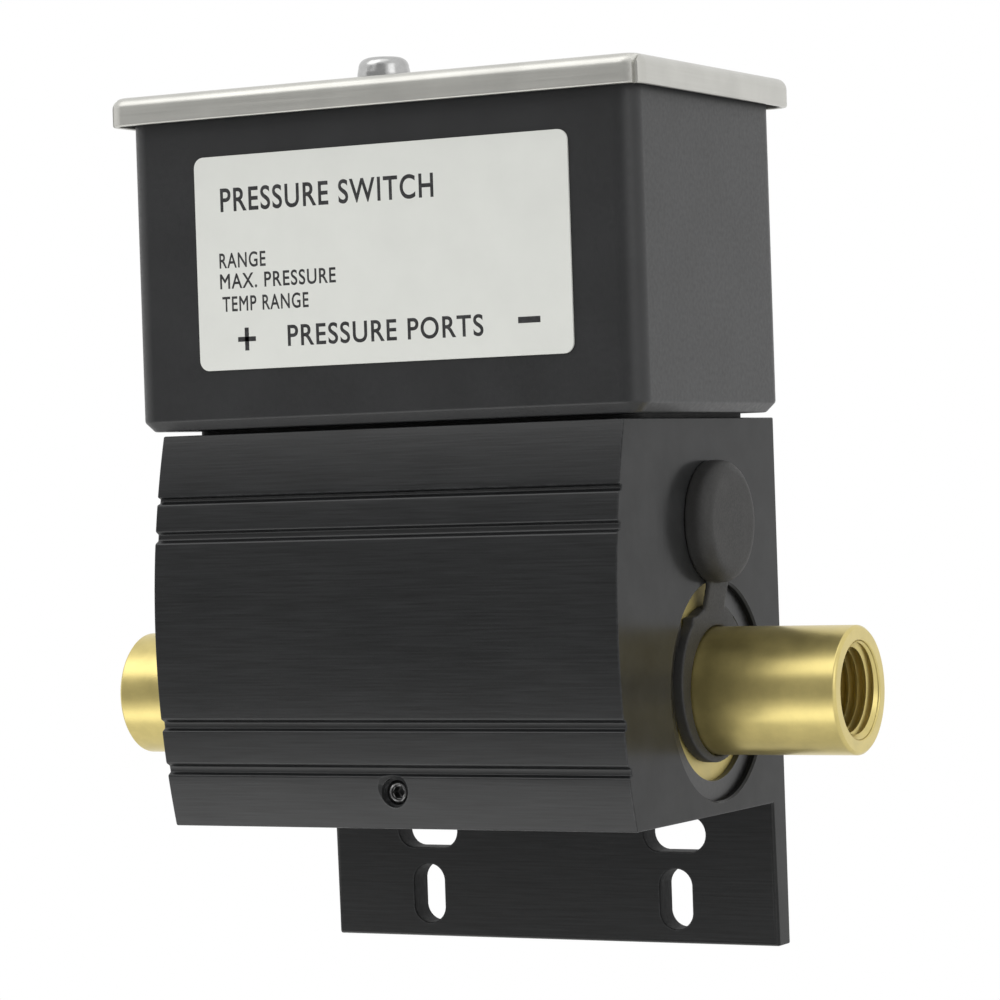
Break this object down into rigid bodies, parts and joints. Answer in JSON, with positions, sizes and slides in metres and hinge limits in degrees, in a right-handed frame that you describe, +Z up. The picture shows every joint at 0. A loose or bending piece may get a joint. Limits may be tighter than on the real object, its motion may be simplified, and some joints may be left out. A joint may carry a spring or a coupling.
{
  "type": "differential pressure switch",
  "caption": "Wall-mounted differential pressure switch: extruded body with brass pressure ports, diaphragms and a lever, under a lidded box with a snap switch and a capped set-point screw",
  "frame": {"origin": "on the back face of the body, straight behind the port axis and midway between the ports", "axes": "+X along the ports towards the set-point side, +Y out of the back into the wall, +Z up"},
  "size_m": [0.1234, 0.0558, 0.1355],
  "materials": {
    "body_anodised": "black anodised extrusion, satin with fine lines along its length",
    "housing_coat": "fine satin black coat on cast metal",
    "brass": "turned brass",
    "stainless": "satin stainless steel",
    "plated_steel": "zinc plated steel",
    "spring_steel": "drawn spring steel",
    "ground_green": "green dyed zinc",
    "black_oxide": "black oxide",
    "cast_aluminium": "machined aluminium",
    "rubber": "moulded black rubber, matt",
    "gasket": "cut sheet rubber",
    "switch_plastic": "moulded dark brown phenolic plastic",
    "plunger_plastic": "moulded pale plastic",
    "label": "off-white printed film, printing left off"
  },
  "bodies": {
    "switch_body": {"body_extrusion": "body_anodised", "housing": "housing_coat", "left_port": "brass", "right_port": "brass", "switch_terminals": "brass", "lid": "stainless", "cover_screws": "stainless", "pivot_pin": "plated_steel", "housing_screws": "plated_steel", "switch_bracket": "plated_steel", "switch_screws": "plated_steel", "bracket_screws": "plated_steel", "terminal_screws": "plated_steel", "range_spring": "spring_steel", "adjuster_clip": "spring_steel", "ground_screw": "ground_green", "lock_screw": "black_oxide", "port_retainers": "black_oxide", "center_ring": "cast_aluminium", "port_seal_rings": "rubber", "left_diaphragm": "rubber", "right_diaphragm": "rubber", "housing_gasket": "gasket", "lid_gasket": "gasket", "switch_case": "switch_plastic", "label": "label"},
    "spindle_set": {"spindle": "plated_steel", "diaphragm_discs": "cast_aluminium", "spindle_nuts": "plated_steel"},
    "lever_set": {"lever": "cast_aluminium"},
    "plunger_set": {"switch_plunger": "plunger_plastic"},
    "adjuster_set": {"adjusting_screw": "plated_steel"},
    "seat_set": {"spring_seat": "cast_aluminium"},
    "plug_set": {"adjuster_plug": "rubber"}
  },
  "joints": [
    {"name": "spindle_stroke", "type": "slide", "parent": "switch_body", "child": "spindle_set", "axis": [1, 0, 0], "range_m": [0, 0.0008], "stiffness_N_per_m": 2000, "springref_m": -0.003, "deforming": ["left_diaphragm", "right_diaphragm"]},
    {"name": "lever_tilt", "type": "hinge", "parent": "switch_body", "child": "lever_set", "pos_m": [0, -0.024, 0.033], "axis": [0, 1, 0], "range_deg": [-1.5, 0]},
    {"name": "plunger_stroke", "type": "slide", "parent": "switch_body", "child": "plunger_set", "axis": [0, 0, 1], "range_m": [0, 0.0004]},
    {"name": "seat_travel", "type": "slide", "parent": "switch_body", "child": "seat_set", "axis": [1, 0, 0], "range_m": [-0.003, 0.003], "deforming": ["range_spring"]},
    {"name": "setpoint_turn", "type": "hinge", "parent": "switch_body", "child": "adjuster_set", "pos_m": [0.0312, -0.0241, 0.0252], "axis": [1, 0, 0], "range_deg": [-1352, 1352]},
    {"name": "plug_pull", "type": "slide", "parent": "switch_body", "child": "plug_set", "axis": [1, 0, 0], "range_m": [0, 0.014]}
  ],
  "couplings": [
    {"joint": "lever_tilt", "follows": "spindle_stroke", "rad_per_m": -30.303},
    {"joint": "plunger_stroke", "follows": "spindle_stroke", "ratio": 0.48485},
    {"joint": "setpoint_turn", "follows": "seat_travel", "rad_per_m": -7854}
  ]
}
